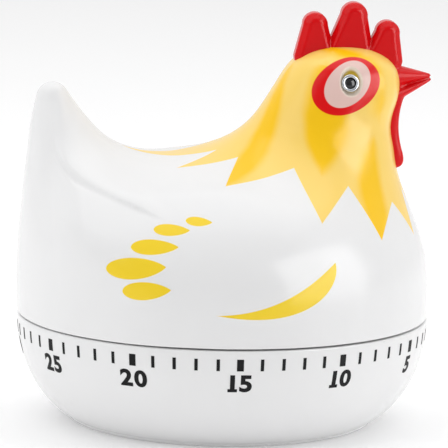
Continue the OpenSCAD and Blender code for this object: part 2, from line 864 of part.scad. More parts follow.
module drive_plate_screws() {
    color(dark_steel) for (a = hen_boss_az)
        translate(at(hen_boss_orbit, a, drive_z - screw_head_h))
            screw(hen_screw_l, hen_screw_head_r, hen_screw_r);
}

// ---------- Nodes ----------

base_shell();
bottom_plate();
top_plate();
plate_pillars();
pillar_screws();
base_screws();
bell();
bell_post();
bell_nut();
lower_bush();
upper_bush();
mainspring();
spring_post();
hammer_spring();
hen_shell();
comb_beak_and_wattle();
eye_rims();
eye_pupils();
drive_plate();
drive_plate_screws();
main_arbor();
arbor_clip();
main_wheel();
clutch_spring();
clutch_collar();
alarm_cam();
second_arbor();
second_wheel();
third_arbor();
third_wheel();
escape_arbor();
escape_wheel();
verge_arbor();
verge_lever();
balance_bar();
hammer_arbor();
hammer_arm();
hammer_tail();
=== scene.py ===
"""Hen-shaped clockwork kitchen timer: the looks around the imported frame.

Lengths are millimetres until add_piece writes a mesh in metres. Z is up and the hen faces +X.
Hen's own heights are measured from the rim, the plane where the hen meets the base.
"""

import json
import math

import bmesh
import bpy
import numpy as np
from mathutils import Matrix, Vector


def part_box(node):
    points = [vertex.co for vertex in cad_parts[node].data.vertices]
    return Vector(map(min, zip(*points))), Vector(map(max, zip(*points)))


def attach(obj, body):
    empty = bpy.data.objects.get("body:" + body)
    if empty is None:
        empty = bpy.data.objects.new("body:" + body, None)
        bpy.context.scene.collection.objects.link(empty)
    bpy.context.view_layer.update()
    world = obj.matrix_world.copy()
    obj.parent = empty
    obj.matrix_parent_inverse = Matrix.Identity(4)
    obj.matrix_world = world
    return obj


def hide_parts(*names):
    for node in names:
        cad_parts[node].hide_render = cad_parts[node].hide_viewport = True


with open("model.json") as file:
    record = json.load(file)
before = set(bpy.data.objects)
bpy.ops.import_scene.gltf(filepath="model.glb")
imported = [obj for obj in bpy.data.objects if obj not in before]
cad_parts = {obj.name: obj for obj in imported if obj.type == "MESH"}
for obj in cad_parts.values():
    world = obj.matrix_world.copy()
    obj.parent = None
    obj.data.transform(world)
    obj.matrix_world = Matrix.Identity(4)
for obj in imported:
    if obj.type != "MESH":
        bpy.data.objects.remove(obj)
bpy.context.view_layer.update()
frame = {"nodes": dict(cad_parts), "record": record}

MM = 0.001


def box_mm(node):
    """Lowest and highest corner of a CAD node in millimetres."""
    return [np.array(corner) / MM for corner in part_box(node)]


base_high = box_mm("base_shell")[1]
hen_low, hen_high = box_mm("hen_shell")
comb_low, comb_high = box_mm("comb_beak_and_wattle")

# ---------- Driving sizes ----------

rim_r = base_high[0]
hen_z = hen_low[2]
rim_gap = 0.3
wall_t = 2.0
hen_r = rim_r + 0.1

# Hen's masses, as in the CAD source but for the tail's tip, which here runs smoothly into its end
back_h = 28.3
belt_h = 2.5
dome_r, dome_h = hen_r + 0.25, back_h - belt_h
girth_r, girth_blend = hen_r + 0.3, 1.5
body_sq = 2.5
neck_low, neck_low_r = np.array([11.3, 0, 14.6]), 8.2
neck_high, neck_high_r = np.array([17.2, 0, 32.8]), 10.3
neck_blend = 16.3
head_at = np.array([20.3, 0, 40.6])
head_size = np.array([9.9, 10.5, 6.7])
head_sq = 2.3
head_blend = 4
tail_low, tail_low_r, tail_low_widen = np.array([-24, 0, 6]), 11.8, 2.2
tail_high, tail_high_r, tail_high_widen = np.array([-30.4, 0, 37.55]), 2.85, 1.15
tail_taper = 1.45
tail_blend_rear, tail_blend_front = 3.3, 9.3
tail_blend_x, tail_blend_span = -34.6, 8.5
boss_orbit, boss_r, boss_low, boss_h = 31.4, 3.3, 5.15, 7
boss_az = (60, 180, 300)

# Eyes
eye_at = np.array([20.5, 10.1, 41.9])
eye_lift, eye_turn = math.radians(14), math.radians(4)
eye_rim_r, eye_pupil_r, eye_proud = 1.55, 0.95, 0.35

# ---------- Mesh helpers ----------


def add_piece(name, points, faces, body, material):
    """A mesh piece made from points in millimetres, riding on a CAD body."""
    mesh = bpy.data.meshes.new(name)
    mesh.from_pydata((np.asarray(points) * MM).tolist(), [], [list(f) for f in faces])
    mesh.validate()
    mesh.polygons.foreach_set("use_smooth", [True] * len(mesh.polygons))
    mesh.materials.append(material)
    piece = bpy.data.objects.new(name, mesh)
    bpy.context.scene.collection.objects.link(piece)
    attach(piece, body)
    return piece


def keep_place(piece):
    """Stores each point's place at rest, in millimetres, for the paint to read."""
    mesh = piece.data
    place = np.zeros(len(mesh.vertices) * 3, np.float32)
    mesh.vertices.foreach_get("co", place)
    attribute = mesh.attributes.new("place", "FLOAT_VECTOR", "POINT")
    attribute.data.foreach_set("vector", place / MM)


def ease(t):
    t = np.clip(t, 0, 1)
    return t * t * (3 - 2 * t)


def soft_min(a, b, k):
    return np.minimum(a, b) - np.maximum(k - np.abs(a - b), 0) ** 2 / (4 * k)


def soft_max(a, b, k):
    return -soft_min(-a, -b, k)


def length(v):
    return np.sqrt((v * v).sum(-1))


def turn_of(v):
    """A mesh point's turn round the Z axis."""
    return math.atan2(v.co.y, v.co.x)


def slope_of(field, points, step=0.02):
    """Gradient of a field at points, by central differences."""
    out = np.zeros_like(points)
    for axis in range(3):
        shift = np.zeros(3)
        shift[axis] = step
        out[:, axis] = (field(points + shift) - field(points - shift)) / (2 * step)
    return out


def settle(points, field, rounds=3):
    """Moves points onto the surface where the field is zero."""
    for _ in range(rounds):
        slope = slope_of(field, points)
        push = field(points) / np.maximum((slope * slope).sum(1), 1e-4)
        points = points - np.clip(push, -1, 1)[:, None] * slope
    return points


def even_out(points, faces, share=0.5):
    """Moves each point towards the middle of its neighbours."""
    count = len(points)
    total, hits = np.zeros((count, 3)), np.zeros(count)
    for k in range(4):
        a, b = faces[:, k], faces[:, (k + 1) % 4]
        for axis in range(3):
            total[:, axis] += np.bincount(a, points[b, axis], count)
            total[:, axis] += np.bincount(b, points[a, axis], count)
        hits += np.bincount(a, minlength=count) + np.bincount(b, minlength=count)
    return points + share * (total / np.maximum(hits, 1)[:, None] - points)


def skin_of(field, low, high, step):
    """Even quads over the surface where a field is zero, one point per grid cell it crosses."""
    low = np.array(low, float)
    counts = np.ceil((np.array(high, float) - low) / step).astype(int) + 1
    lines = [low[i] + step * np.arange(counts[i]) for i in range(3)]
    across = np.stack(np.meshgrid([0.0], lines[1], lines[2], indexing="ij"), -1).reshape(-1, 3)
    slabs = [field(across + [x, 0, 0]).reshape(counts[1:]) < 0 for x in lines[0]]
    inside = np.stack(slabs)
    nx, ny, nz = counts - 1
    filled = sum(
        inside[i : nx + i, j : ny + j, k : nz + k].astype(np.int8)
        for i in (0, 1) for j in (0, 1) for k in (0, 1)
    )
    crossed = (filled > 0) & (filled < 8)
    number = np.full(crossed.shape, -1)
    number[crossed] = np.arange(crossed.sum())
    points = low + (np.argwhere(crossed) + 0.5) * step
    faces = []
    for a in range(3):
        b, c = (a + 1) % 3, (a + 2) % 3
        near = np.take(inside, np.arange(counts[a] - 1), axis=a)
        far = np.take(inside, np.arange(1, counts[a]), axis=a)
        for edges, order in (
            (np.argwhere(near & ~far), (0, 1, 2, 3)),
            (np.argwhere(far & ~near), (3, 2, 1, 0)),
        ):
            across_b, across_c = edges[:, b], edges[:, c]
            edges = edges[
                (across_b > 0) & (across_b < counts[b] - 1) & (across_c > 0) & (across_c < counts[c] - 1)
            ]
            ring = []
            for back_b, back_c in ((0, 0), (1, 0), (1, 1), (0, 1)):
                cell = edges.copy()
                cell[:, b] -= back_b
                cell[:, c] -= back_c
                ring.append(number[tuple(cell.T)])
            faces.append(np.stack([ring[i] for i in order], 1))
    faces = np.concatenate(faces)
    points = settle(points, field, 2)
    for _ in range(3):
        points = settle(even_out(points, faces), field, 1)
    return settle(points, field, 2), faces


def ring_points(radius, z, count):
    a = np.linspace(0, 2 * math.pi, count, endpoint=False)
    return np.stack([radius * np.cos(a), radius * np.sin(a), np.full(count, z)], 1)


def lathe(profile, count=96):
    """Points and quads of a closed turned solid; the profile is (radius, z) from axis to axis."""
    rings = [ring_points(r, z, count) for r, z in profile[1:-1]]
    points = np.concatenate(rings)
    faces = []
    for i in range(len(rings) - 1):
        for j in range(count):
            k = (j + 1) % count
            faces.append([i * count + j, i * count + k, (i + 1) * count + k, (i + 1) * count + j])
    first, last = len(points), len(points) + 1
    points = np.concatenate([points, [[0, 0, profile[0][1]], [0, 0, profile[-1][1]]]])
    top = (len(rings) - 1) * count
    for j in range(count):
        k = (j + 1) % count
        faces.append([first, k, j])
        faces.append([last, top + j, top + k])
    return points, faces


def arc(centre_r, centre_z, radius, start, end, steps):
    """Points of an arc in a lathe profile, angles in degrees."""
    return [
        (centre_r + radius * math.cos(math.radians(a)), centre_z + radius * math.sin(math.radians(a)))
        for a in np.linspace(start, end, steps + 1)
    ]


# ---------- Shader helpers ----------


class Wire:
    """A node's output that ordinary arithmetic works on."""

    def __init__(self, tree, socket):
        self.tree, self.socket = tree, socket

    def math(self, operation, *values):
        node = self.tree.nodes.new("ShaderNodeMath")
        node.operation = operation
        for slot, value in zip(node.inputs, values):
            if isinstance(value, Wire):
                self.tree.links.new(value.socket, slot)
            else:
                slot.default_value = value
        return Wire(self.tree, node.outputs[0])

    def __add__(self, other):
        return self.math("ADD", self, other)

    def __radd__(self, other):
        return self.math("ADD", other, self)

    def __sub__(self, other):
        return self.math("SUBTRACT", self, other)

    def __rsub__(self, other):
        return self.math("SUBTRACT", other, self)

    def __mul__(self, other):
        return self.math("MULTIPLY", self, other)

    def __rmul__(self, other):
        return self.math("MULTIPLY", other, self)

    def __truediv__(self, other):
        return self.math("DIVIDE", self, other)

    def __pow__(self, other):
        return self.math("POWER", self, other)

    def __abs__(self):
        return self.math("ABSOLUTE", self)

    def least(self, other):
        return self.math("MINIMUM", self, other)

    def most(self, other):
        return self.math("MAXIMUM", self, other)

    def clamped(self):
        return self.math("MAXIMUM", self, 0.0).least(1.0)

    def step(self, width):
        """0 below -width, 1 above +width, smooth between."""
        node = self.tree.nodes.new("ShaderNodeMapRange")
        node.interpolation_type = "SMOOTHSTEP"
        node.inputs["From Min"].default_value = -width
        node.inputs["From Max"].default_value = width
        self.tree.links.new(self.socket, node.inputs["Value"])
        return Wire(self.tree, node.outputs["Result"])


class Paint:
    """A material being built: a Principled shader and shorthands for the nodes that feed it."""

    def __init__(self, name, color, roughness, metallic=0.0):
        self.material = bpy.data.materials.new(name)
        self.material.use_nodes = True
        self.material.diffuse_color = (*color, 1)
        self.tree = self.material.node_tree
        self.shader = self.tree.nodes["Principled BSDF"]
        self.shader.inputs["Base Color"].default_value = (*color, 1)
        self.shader.inputs["Roughness"].default_value = roughness
        self.shader.inputs["Metallic"].default_value = metallic

    def node(self, kind, **settings):
        made = self.tree.nodes.new(kind)
        for key, value in settings.items():
            setattr(made, key, value)
        return made

    def link(self, source, target):
        self.tree.links.new(source.socket if isinstance(source, Wire) else source, target)

    def place(self):
        """Rest place in millimetres, as three wires, and the vector itself."""
        node = self.node("ShaderNodeAttribute", attribute_name="place")
        split = self.node("ShaderNodeSeparateXYZ")
        self.link(node.outputs["Vector"], split.inputs[0])
        return [Wire(self.tree, out) for out in split.outputs], node.outputs["Vector"]

    def object_place(self, stretch=(1, 1, 1)):
        """Object coordinates in millimetres, stretched."""
        node = self.node("ShaderNodeTexCoord")
        scale = self.node("ShaderNodeMapping")
        scale.inputs["Scale"].default_value = [s / MM for s in stretch]
        self.link(node.outputs["Object"], scale.inputs["Vector"])
        return scale.outputs["Vector"]

    def noise(self, vector, scale, detail=3.0, roughness=0.5):
        node = self.node("ShaderNodeTexNoise")
        node.inputs["Scale"].default_value = scale
        node.inputs["Detail"].default_value = detail
        node.inputs["Roughness"].default_value = roughness
        self.link(vector, node.inputs["Vector"])
        return Wire(self.tree, node.outputs[0])

    def mix(self, share, first, second):
        """Colour mixed from first to second; each is a colour or a socket."""
        node = self.node("ShaderNodeMix", data_type="RGBA")
        self.link(share, node.inputs[0])
        for slot, value in ((node.inputs[6], first), (node.inputs[7], second)):
            if isinstance(value, tuple):
                slot.default_value = (*value, 1)
            else:
                self.link(value, slot)
        return node.outputs[2]

    def bump(self, height, strength, distance):
        node = self.node("ShaderNodeBump")
        node.inputs["Strength"].default_value = strength
        node.inputs["Distance"].default_value = distance * MM
        self.link(height, node.inputs["Height"])
        self.link(node.outputs[0], self.shader.inputs["Normal"])


def moulded(name, color, shade, roughness, in_place=True, coat=0.12, specular=0.5):
    """Glossy moulded plastic: faint cloudiness, uneven gloss and a soft moulded ripple."""
    paint = Paint(name, color, roughness)
    vector = paint.place()[1] if in_place else paint.object_place()
    cloud = paint.noise(vector, 0.09, 2)
    paint.link(paint.mix(cloud.clamped(), color, shade), paint.shader.inputs["Base Color"])
    wear = paint.noise(vector, 0.8, 4, 0.6)
    paint.link(wear * 0.08 + (roughness - 0.04), paint.shader.inputs["Roughness"])
    paint.bump(paint.noise(vector, 0.35, 2), 0.12, 0.15)
    paint.shader.inputs["Coat Weight"].default_value = coat
    paint.shader.inputs["Coat Roughness"].default_value = 0.08
    paint.shader.inputs["Specular IOR Level"].default_value = specular
    return paint


def metal(name, color, shade, roughness, stretch, scale=2.2, depth=0.02):
    """Worked metal: drawn or turned grain from stretched noise, with patches of tarnish."""
    paint = Paint(name, color, roughness, 1.0)
    grain = paint.noise(paint.object_place(stretch), scale, 5, 0.65)
    cloud = paint.noise(paint.object_place(), 0.25, 3)
    paint.link(paint.mix((cloud - 0.35).clamped() * 1.6, color, shade), paint.shader.inputs["Base Color"])
    paint.link(grain * 0.22 + (roughness - 0.11), paint.shader.inputs["Roughness"])
    paint.bump(grain, 0.35, depth)
    return paint.material


# ---------- Hen's form ----------


def dome_field(p):
    flat = length(p[:, :2]) / dome_r
    tall = np.maximum(p[:, 2] - belt_h, 0) / dome_h
    return dome_h * ((flat**body_sq + tall**body_sq) ** (1 / body_sq) - 1)


def round_cone_field(p, low, high, low_r, high_r, taper=1):
    """A tapered rod; where it narrows fast it still runs smoothly into its round end."""
    axis = high - low
    span = math.sqrt(axis @ axis)
    t = (p - low) @ axis / span**2
    if taper > 1:
        narrowing = (low_r - high_r) * taper * np.clip(t, 0, 1) ** (taper - 1) / span
        away = length(p - low - t[:, None] * axis)
        t = t - narrowing * away / span * ease((t - 0.7) / 0.3)
    t = np.clip(t, 0, 1)
    return length(p - low - t[:, None] * axis) - (low_r + (high_r - low_r) * t**taper)


def head_field(p):
    share = (np.abs(p - head_at) / head_size) ** head_sq
    return head_size[2] * (share.sum(1) ** (1 / head_sq) - 1)


def tail_field(p):
    t = np.clip((p[:, 2] - tail_low[2]) / (tail_high[2] - tail_low[2]), 0, 1)
    widen = tail_low_widen + (tail_high_widen - tail_low_widen) * t
    narrow = np.stack([p[:, 0], p[:, 1] / widen, p[:, 2]], 1)
    return round_cone_field(narrow, tail_low, tail_high, tail_low_r, tail_high_r, tail_taper)


def hen_field(p):
    """Below zero inside the hen; heights are from the rim."""
    neck = round_cone_field(p, neck_low, neck_high, neck_low_r, neck_high_r)
    headed = soft_min(soft_min(dome_field(p), neck, neck_blend), head_field(p), head_blend)
    tail_blend = tail_blend_rear + tail_blend_front * ease((p[:, 0] - tail_blend_x) / tail_blend_span)
    tailed = soft_min(headed, tail_field(p), tail_blend)
    return soft_max(tailed, length(p[:, :2]) - girth_r, girth_blend)


# The hollow round each eye: an upright oval sunk into the cheek
socket_at = np.array([20.65, 42.15])
socket_size = np.array([1.75, 2.2])
socket_depth = 0.75
socket_edge = 0.34
cheek_y = 7


def socket_share(p):
    """1 on the edge of the hollow, less inside it."""
    return length((p[:, [0, 2]] - socket_at) / socket_size)


# The fold from the tail's tip to the flank follows a leaning hyperbola in side view
fold_corner, fold_reach, fold_lean = np.array([-31.5, 26.0]), 8.2, 0.3
fold_height, fold_drop, fold_back = 0.5, 1.0, 3.2
tail_crease_x, tail_crease_depth = -31.2, 0.18
shoulder_at, shoulder_slope, shoulder_height = np.array([-18, 23.4]), 0.11, 0.2


def fold_relief(side):
    """A rib along the fold: steep on the flank's side, gentle on the back's."""
    away = side - fold_corner
    away[:, 1] += fold_lean * away[:, 0]
    d = (away[:, 0] * away[:, 1] - fold_reach) / np.maximum(length(away), 1)
    along = ease((side[:, 0] + 31) / 2.5) * ease((-11 - side[:, 0]) / 7) * ease(away[:, 1] / 0.3)
    rib = ease(1 + d / fold_drop) * ease(1 - (d - 0.4) / fold_back)
    return fold_height * along * (rib - 0.3 * np.exp(-(((d + 1.2) / 0.8) ** 2)))


def tail_crease_relief(side):
    """A soft upright crease down the tail's flank."""
    x, z = side[:, 0], side[:, 1]
    along = ease((z - 5) / 12) * ease((37 - z) / 16)
    return -tail_crease_depth * along * np.exp(-(((x - tail_crease_x) / 1.2) ** 2))


def shoulder_relief(side):
    """A soft edge where the flank turns into the back."""
    x, z = side[:, 0], side[:, 1]
    d = z - shoulder_at[1] - shoulder_slope * (x - shoulder_at[0])
    along = ease((x + 21) / 5) * ease((6 - x) / 8)
    return shoulder_height * along * np.exp(-((d / 1.6) ** 2))


def relief(p):
    """Height of the moulded detail over the smooth form."""
    side = p[:, [0, 2]]
    on_cheek = np.abs(p[:, 1]) > cheek_y
    dish = ease((1 - socket_share(p)) / socket_edge + 0.5)
    folds = fold_relief(side) + tail_crease_relief(side) + shoulder_relief(side)
    return folds * ease(np.abs(p[:, 1]) / 5) - np.where(on_cheek, socket_depth * dish, 0)


def refine(bm, near, rounds):
    """Splits the faces whose points are near, so that small detail has points to stand on."""
    for _ in range(rounds):
        edges = [e for e in bm.edges if all(near(v.co) for v in e.verts)]
        bmesh.ops.subdivide_edges(bm, edges=edges, cuts=1, use_grid_fill=True)


def near_socket(co):
    reach = 1.6
    return (
        abs(co.y) > cheek_y
        and abs(co.x - socket_at[0]) < socket_size[0] * reach
        and abs(co.z - socket_at[1]) < socket_size[1] * reach
    )


def trimmed(points, faces, floor_z):
    """A mesh cut off flat at a height, as bmesh."""
    mesh = bpy.data.meshes.new("trim")
    mesh.from_pydata(points.tolist(), [], faces.tolist())
    bm = bmesh.new()
    bm.from_mesh(mesh)
    bpy.data.meshes.remove(mesh)
    bmesh.ops.bisect_plane(
        bm, geom=bm.verts[:] + bm.edges[:] + bm.faces[:], plane_co=(0, 0, floor_z),
        plane_no=(0, 0, 1), clear_inner=True,
    )
    bmesh.ops.remove_doubles(bm, verts=[v for v in bm.verts if v.is_boundary], dist=0.02)
    return bm


def edge_ring(bm):
    """Open-edge points in order round the Z axis."""
    return sorted((v for v in bm.verts if v.is_boundary), key=turn_of)


def add_band(bm, ring, made):
    """Quads between a ring and its copy at new places, facing down; returns the new ring."""
    fresh = [bm.verts.new(place) for place in made]
    for i in range(len(ring)):
        j = (i + 1) % len(ring)
        bm.faces.new([fresh[i], fresh[j], ring[j], ring[i]])
    return fresh


def zip_rings(bm, first, second):
    """Triangles between two rings of different counts, both sorted round the Z axis, facing down."""
    i = j = 0
    while i < len(first) or j < len(second):
        a, b = first[i % len(first)], second[j % len(second)]
        turn_a = turn_of(first[i + 1]) if i + 1 < len(first) else math.pi + 1 + i - len(first)
        turn_b = turn_of(second[j + 1]) if j + 1 < len(second) else math.pi + 1 + j - len(second)
        if j >= len(second) or (i < len(first) and turn_a <= turn_b):
            corner = [b, first[(i + 1) % len(first)], a]
            i += 1
        else:
            corner = [b, second[(j + 1) % len(second)], a]
            j += 1
        bm.faces.new(corner)


def make_hen_shell(material):
    """Hollow hen: outer skin, rounded lower edge, inner skin and three screw bosses."""
    step, inner_step = 0.45, 1.1
    edge_round = 0.3
    low, high = (-39, -39, -1.5), (39, 39, hen_high[2] - hen_z + 2)
    points, faces = skin_of(hen_field, low, high, step)
    bm = trimmed(points, faces, edge_round)
    refine(bm, near_socket, 2)
    bm.verts.ensure_lookup_table()
    place = np.array([v.co for v in bm.verts])
    on_edge = np.array([v.is_boundary for v in bm.verts])
    place = np.where(on_edge[:, None], place, settle(place, hen_field, 2))
    slope = slope_of(hen_field, place)
    place += relief(place)[:, None] * slope / length(slope)[:, None]
    for v, co in zip(bm.verts, place):
        v.co = co

    ring = edge_ring(bm)
    outward = [Vector((v.co.x, v.co.y, 0)).normalized() for v in ring]
    radius = [Vector((v.co.x, v.co.y, 0)).length for v in ring]
    for angle in (30, 60, 90):
        inward = edge_round * (1 - math.cos(math.radians(angle)))
        z = edge_round * (1 - math.sin(math.radians(angle)))
        made = [way * (r - inward) + Vector((0, 0, z)) for way, r in zip(outward, radius)]
        ring = add_band(bm, ring, made)
    inner_rim_r = hen_r - wall_t
    ring = add_band(bm, ring, [way * inner_rim_r for way in outward])

    inner_level = -(dome_r - hen_r + wall_t) * dome_h / dome_r
    inner, inner_faces = skin_of(lambda p: hen_field(p) - inner_level, low, high, inner_step)
    inner_bm = trimmed(inner, inner_faces, 0.6)
    bmesh.ops.reverse_faces(inner_bm, faces=inner_bm.faces[:])
    spare = bpy.data.meshes.new("inner")
    inner_bm.to_mesh(spare)
    inner_bm.free()
    known = set(bm.verts)
    bm.from_mesh(spare)
    bpy.data.meshes.remove(spare)
    inner_ring = sorted((v for v in bm.verts if v not in known and v.is_boundary), key=turn_of)
    zip_rings(bm, ring, inner_ring)

    for az in boss_az:
        x, y = boss_orbit * math.cos(math.radians(az)), boss_orbit * math.sin(math.radians(az))
        place = Matrix.Translation((x, y, boss_low + boss_h / 2))
        bmesh.ops.create_cone(
            bm, cap_ends=True, segments=32, radius1=boss_r, radius2=boss_r, depth=boss_h, matrix=place
        )

    bmesh.ops.translate(bm, verts=bm.verts[:], vec=(0, 0, hen_z))
    mesh = bpy.data.meshes.new("hen_skin")
    bmesh.ops.scale(bm, verts=bm.verts[:], vec=(MM, MM, MM))
    bm.to_mesh(mesh)
    bm.free()
    mesh.polygons.foreach_set("use_smooth", [True] * len(mesh.polygons))
    mesh.materials.append(material)
    piece = bpy.data.objects.new("hen_skin", mesh)
    bpy.context.scene.collection.objects.link(piece)
    keep_place(piece)
    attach(piece, "hen")
    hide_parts("hen_shell")
    return piece


# ---------- Hen's paint ----------

white = (0.87, 0.87, 0.872)
white_shade = (0.845, 0.845, 0.85)
golden = (1.0, 0.60, 0.008)
# Pale yellow of the plumage: partly paint, partly a painted reflection of the lamps on the glossy head
pale_yellow_and_reflection = (1.0, 0.70, 0.17)
drop_yellow = (0.95, 0.68, 0.03)
red = (0.76, 0.003, 0.005)
red_shade = (0.64, 0.003, 0.006)
pink = (0.82, 0.58, 0.53)
# Pale cream for the painted highlight on the rounded lip of each eye hollow
rim_highlight_cream = (0.88, 0.76, 0.64)
dish_gold = (0.62, 0.42, 0.04)

# Plumage edge, from the breast round to the back: azimuth in degrees about plume_axis_x and
# distance from the middle of the head, by turns at a tip and at a notch. The surface is unrolled
# about the head into a plane, where the edge runs in straight lines.
plume_axis_x, unroll = 16, 0.75
plumage = [
    (0, 30), (17, 21), (32, 29.7), (45, 23.8), (66.5, 32.7), (77.5, 23),
    (93.6, 34), (109.1, 22.8), (129.9, 34.2), (143.3, 24.9), (155.5, 34.6), (180, 17.5),
]
plume_core = 16

# Airbrushed golden strokes in the unrolled plane: start, end, half width, swell. The pale yellow round them
# is partly the plumage's own paint and partly a painted reflection of the lamps on its gloss.
golden_strokes = [
    ((8.5, -5.2), (34.5, -4.9), 2.6, (0.35, 0.5)),
    ((9, 4.2), (20.8, 7.7), 3.3, (0.4, 0.9)),
    ((7.5, 11), (25.6, 21.2), 2.9, (0.8, 0.55)),
    ((4.5, -7.5), (5.5, 9.5), 2.4, (0.6, 0.6)),
]

# Wing drops: the round end, the pointed end and the half width, in side view
wing_drops = [
    ((-9.1, 39.4), (-4.6, 39.3), 0.75),
    ((-14.5, 37.8), (-8.4, 38.0), 0.95),
    ((-18.4, 35.0), (-10.4, 35.4), 1.25),
    ((-22.5, 31.2), (-12.6, 32.2), 1.85),
    ((-19.8, 27.7), (-11.8, 28.5), 1.6),
]

# Wing crescent: its left tip, its right tip, and the depth of its lower and upper edges
crescent_left, crescent_right = (-4.6, 24.5), (16.3, 32.8)
crescent_low, crescent_high = 14.1, 9.1

# Eye patches: middle, half sizes and tilt in side view
red_patch = ((19.8, 60.0), (6.2, 4.5), 24)
pink_patch = ((20.0, 60.4), (4.55, 3.3), 42)


def unrolled(turn, away):
    return away * math.sin(math.radians(turn * unroll)), away * math.cos(math.radians(turn * unroll))


def unrolled_wires(x, y, z):
    """Places in the unrolled plane, and the distance from the middle of the head."""
    turn = x.math("ARCTAN2", abs(y), x - plume_axis_x) * unroll
    out_x, out_z = x - float(head_at[0]), z - float(head_at[2] + hen_z)
    away = (out_x * out_x + y * y + out_z * out_z) ** 0.5
    return away * turn.math("SINE", turn), away * turn.math("COSINE", turn), away


def plumage_depth(u, v, away):
    """Millimetres inside the plumage's edge: a core round the head, and a wedge for each tip."""
    corners = [unrolled(*corner) for corner in plumage]
    depth = plume_core - away
    for k in range(0, len(corners), 2):
        wedge = None
        for notch in (k - 1, k + 1):
            if 0 <= notch < len(corners):
                (tip_u, tip_v), (notch_u, notch_v) = corners[k], corners[notch]
                run_u, run_v = notch_u - tip_u, notch_v - tip_v
                side = (1 if notch > k else -1) / math.hypot(run_u, run_v)
                line = u * (run_v * side) - v * (run_u * side) + (tip_v * run_u - tip_u * run_v) * side
                wedge = line if wedge is None else wedge.least(line)
        depth = wedge.most(depth)
    return depth


def leaf_depth(x, z, start, end, half_w, swell=(0.5, 0.75)):
    """Above zero inside a leaf; swell says how fast it widens from its start and from its end."""
    dx, dz = end[0] - start[0], end[1] - start[1]
    span = math.hypot(dx, dz)
    p, q = swell
    widest = p**p * q**q / (p + q) ** (p + q)
    along = ((x - start[0]) * (dx / span) + (z - start[1]) * (dz / span)) / span
    across = (z - start[1]) * (dx / span) - (x - start[0]) * (dz / span)
    t = along.clamped()
    beyond = abs(along - t) * span
    return (t**p) * ((1 - t) ** q) * (half_w / widest) - abs(across) - beyond


def crescent_depth(x, z):
    dx = crescent_right[0] - crescent_left[0]
    dz = crescent_right[1] - crescent_left[1]
    span = math.hypot(dx, dz)
    along = ((x - crescent_left[0]) * dx + (z - crescent_left[1]) * dz) / span**2
    t = along.clamped()
    across = ((z - crescent_left[1]) * dx - (x - crescent_left[0]) * dz) / span
    low_edge = t * ((1 - t) ** 0.55) * -crescent_low
    high_edge = (t**1.05) * ((1 - t) ** 1.1) * -crescent_high
    return (across - low_edge).least(high_edge - across) - abs(along - t) * span


def oval_depth(x, z, patch):
    (mid_x, mid_z), (half_a, half_b), tilt = patch
    c, s = math.cos(math.radians(tilt)), math.sin(math.radians(tilt))
    a = ((x - mid_x) * c + (z - mid_z) * s) / half_a
    b = ((z - mid_z) * c - (x - mid_x) * s) / half_b
    return (1 - (a * a + b * b) ** 0.5) * half_b


def make_hen_paint():
    paint = moulded("hen_lacquer", white, white_shade, 0.2, coat=0.03, specular=0.22)
    (x, y, z), vector = paint.place()
    soft, airbrush = 0.07, 1.1
    color = paint.shader.inputs["Base Color"].links[0].from_socket

    wing = leaf_depth(x, z, *wing_drops[0])
    for drop in wing_drops[1:]:
        wing = wing.most(leaf_depth(x, z, *drop))
    wing = wing.most(crescent_depth(x, z))
    flank_y, cheek_from_y, side_soft = 3, 4.5, 0.5
    flank = (abs(y) - flank_y).step(side_soft)
    color = paint.mix((wing - soft).step(soft) * flank, color, drop_yellow)

    u, v, away = unrolled_wires(x, y, z)
    stroke = leaf_depth(u, v, *golden_strokes[0])
    for leaf in golden_strokes[1:]:
        stroke = stroke.most(leaf_depth(u, v, *leaf))
    mottle = paint.noise(vector, 0.12, 2) - 0.5
    # Plumage: golden airbrushed strokes over pale yellow that is partly paint and partly a painted
    # reflection of the lamps
    plume = paint.mix((stroke + mottle * 2).step(airbrush), pale_yellow_and_reflection, golden)
    color = paint.mix(plumage_depth(u, v, away).step(soft), color, plume)

    cheek = (abs(y) - cheek_from_y).step(side_soft)
    for patch, tone in ((red_patch, red), (pink_patch, pink)):
        color = paint.mix(oval_depth(x, z, patch).step(soft) * cheek, color, tone)
    socket = ((float(socket_at[0]), float(socket_at[1] + hen_z)), tuple(map(float, socket_size)), 0)
    dish = oval_depth(x, z, socket)
    # Painted highlight: a pale cream ring round the hollow's lip, where light would gleam on its rounded
    # edge
    color = paint.mix((dish + 0.35).step(0.2) * cheek, color, rim_highlight_cream)
    color = paint.mix((dish - 0.3).step(0.25) * cheek, color, dish_gold)
    paint.link(color, paint.shader.inputs["Base Color"])
    return paint.material


# ---------- Comb, beak and wattle ----------

# Side view: a lobe is a tapered rod from a low point to a high point
comb_t = 5
comb_lobes = [
    ((15.2, 45.4), 3.6, (15.2, 50.85), 2.2),
    ((21.3, 46.0), 4.3, (22.0, 52.55), 2.35),
    ((27.2, 45.2), 3.5, (27.9, 49.6), 2.15),
]
comb_foot_at, comb_foot_half = np.array([21.1, 45.2]), np.array([6.5, 2.4])
comb_bevel, comb_softness = 1.1, 0.25
wattle_low_z, wattle_high_z, wattle_back_x = 25.75, 42, 27
wattle_waist, wattle_curve, wattle_round = (30.25, 33.5), 0.034, 1.6
wattle_straight_z, wattle_inset, wattle_bevel = 38, 0.4, 0.6
beak_back_x, beak_root_x, beak_tip_half = 26, 30, 0.28

# Upper and lower beak: height at the root and at the tip, half height and half width at the
# root, and the tip's reach
beak_halves = [
    (42.0, 42.1, 1.85, 3.0, 35.6),
    (39.0, 41.35, 1.45, 2.7, 35.7),
]

# Softness of the joins: between lobes, between beak halves, and between the moulding's parts
lobe_join, mouth_join, part_join = 0.25, 0.45, 0.5


def rod_2d(p, low, low_r, high, high_r):
    low, high = np.array(low), np.array(high)
    axis = high - low
    t = np.clip((p - low) @ axis / (axis @ axis), 0, 1)
    return length(p - low - t[:, None] * axis) - (low_r + (high_r - low_r) * t)


def slab(side, y, half_t, bevel):
    """An outline in side view given thickness, with a bevelled and slightly softened edge."""
    face = np.abs(y) - half_t
    chamfer = (side + face + bevel) / math.sqrt(2)
    return soft_max(soft_max(side, face, comb_softness), chamfer, comb_softness)


